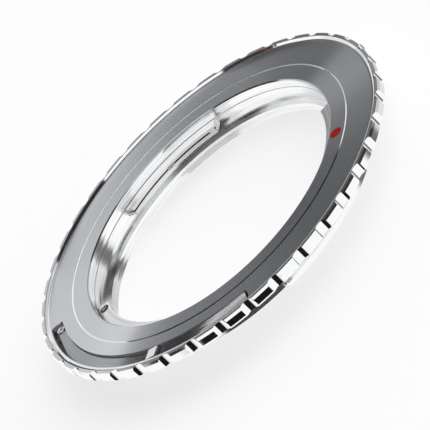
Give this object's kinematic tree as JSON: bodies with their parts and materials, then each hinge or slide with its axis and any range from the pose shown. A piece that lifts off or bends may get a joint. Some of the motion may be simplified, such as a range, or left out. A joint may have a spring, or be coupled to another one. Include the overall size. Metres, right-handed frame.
{
  "type": "lens mount adapter",
  "caption": "Thin plated ring that seats a bayonet lens on a camera body: notched grip rim, split inner lugs, outer rear tabs and a sprung lock leaf in an arc slot.",
  "frame": {"origin": "on the ring's axis, at its rear end, the face that it rests on", "axes": "+Z along the ring's axis, out of the lens seat; X and Y in the plane of the ring, with the picture's viewer on -Y"},
  "size_m": [0.065, 0.065, 0.0063],
  "materials": {
    "plated_brass": "chrome-plated brass, circular-brushed satin face, bright turned rim and bore",
    "spring_steel": "spring steel strip, brushed along its length",
    "bright_steel": "turned and polished",
    "red_enamel": "matt red enamel"
  },
  "bodies": {
    "ring": {"adapter_ring": "plated_brass", "leaf_rivet": "bright_steel", "stop_pin": "bright_steel", "lens_index_dot": "red_enamel", "camera_index_mark": "red_enamel"},
    "lock": {"lock_leaf": "spring_steel"}
  },
  "joints": [
    {"name": "lock_press", "type": "hinge", "parent": "ring", "child": "lock", "pos_m": [-0.02909, 0.00549, 0.00532], "axis": [0.9826, -0.1855, 0], "range_deg": [0, 0.75], "stiffness_Nm_per_rad": 2}
  ]
}
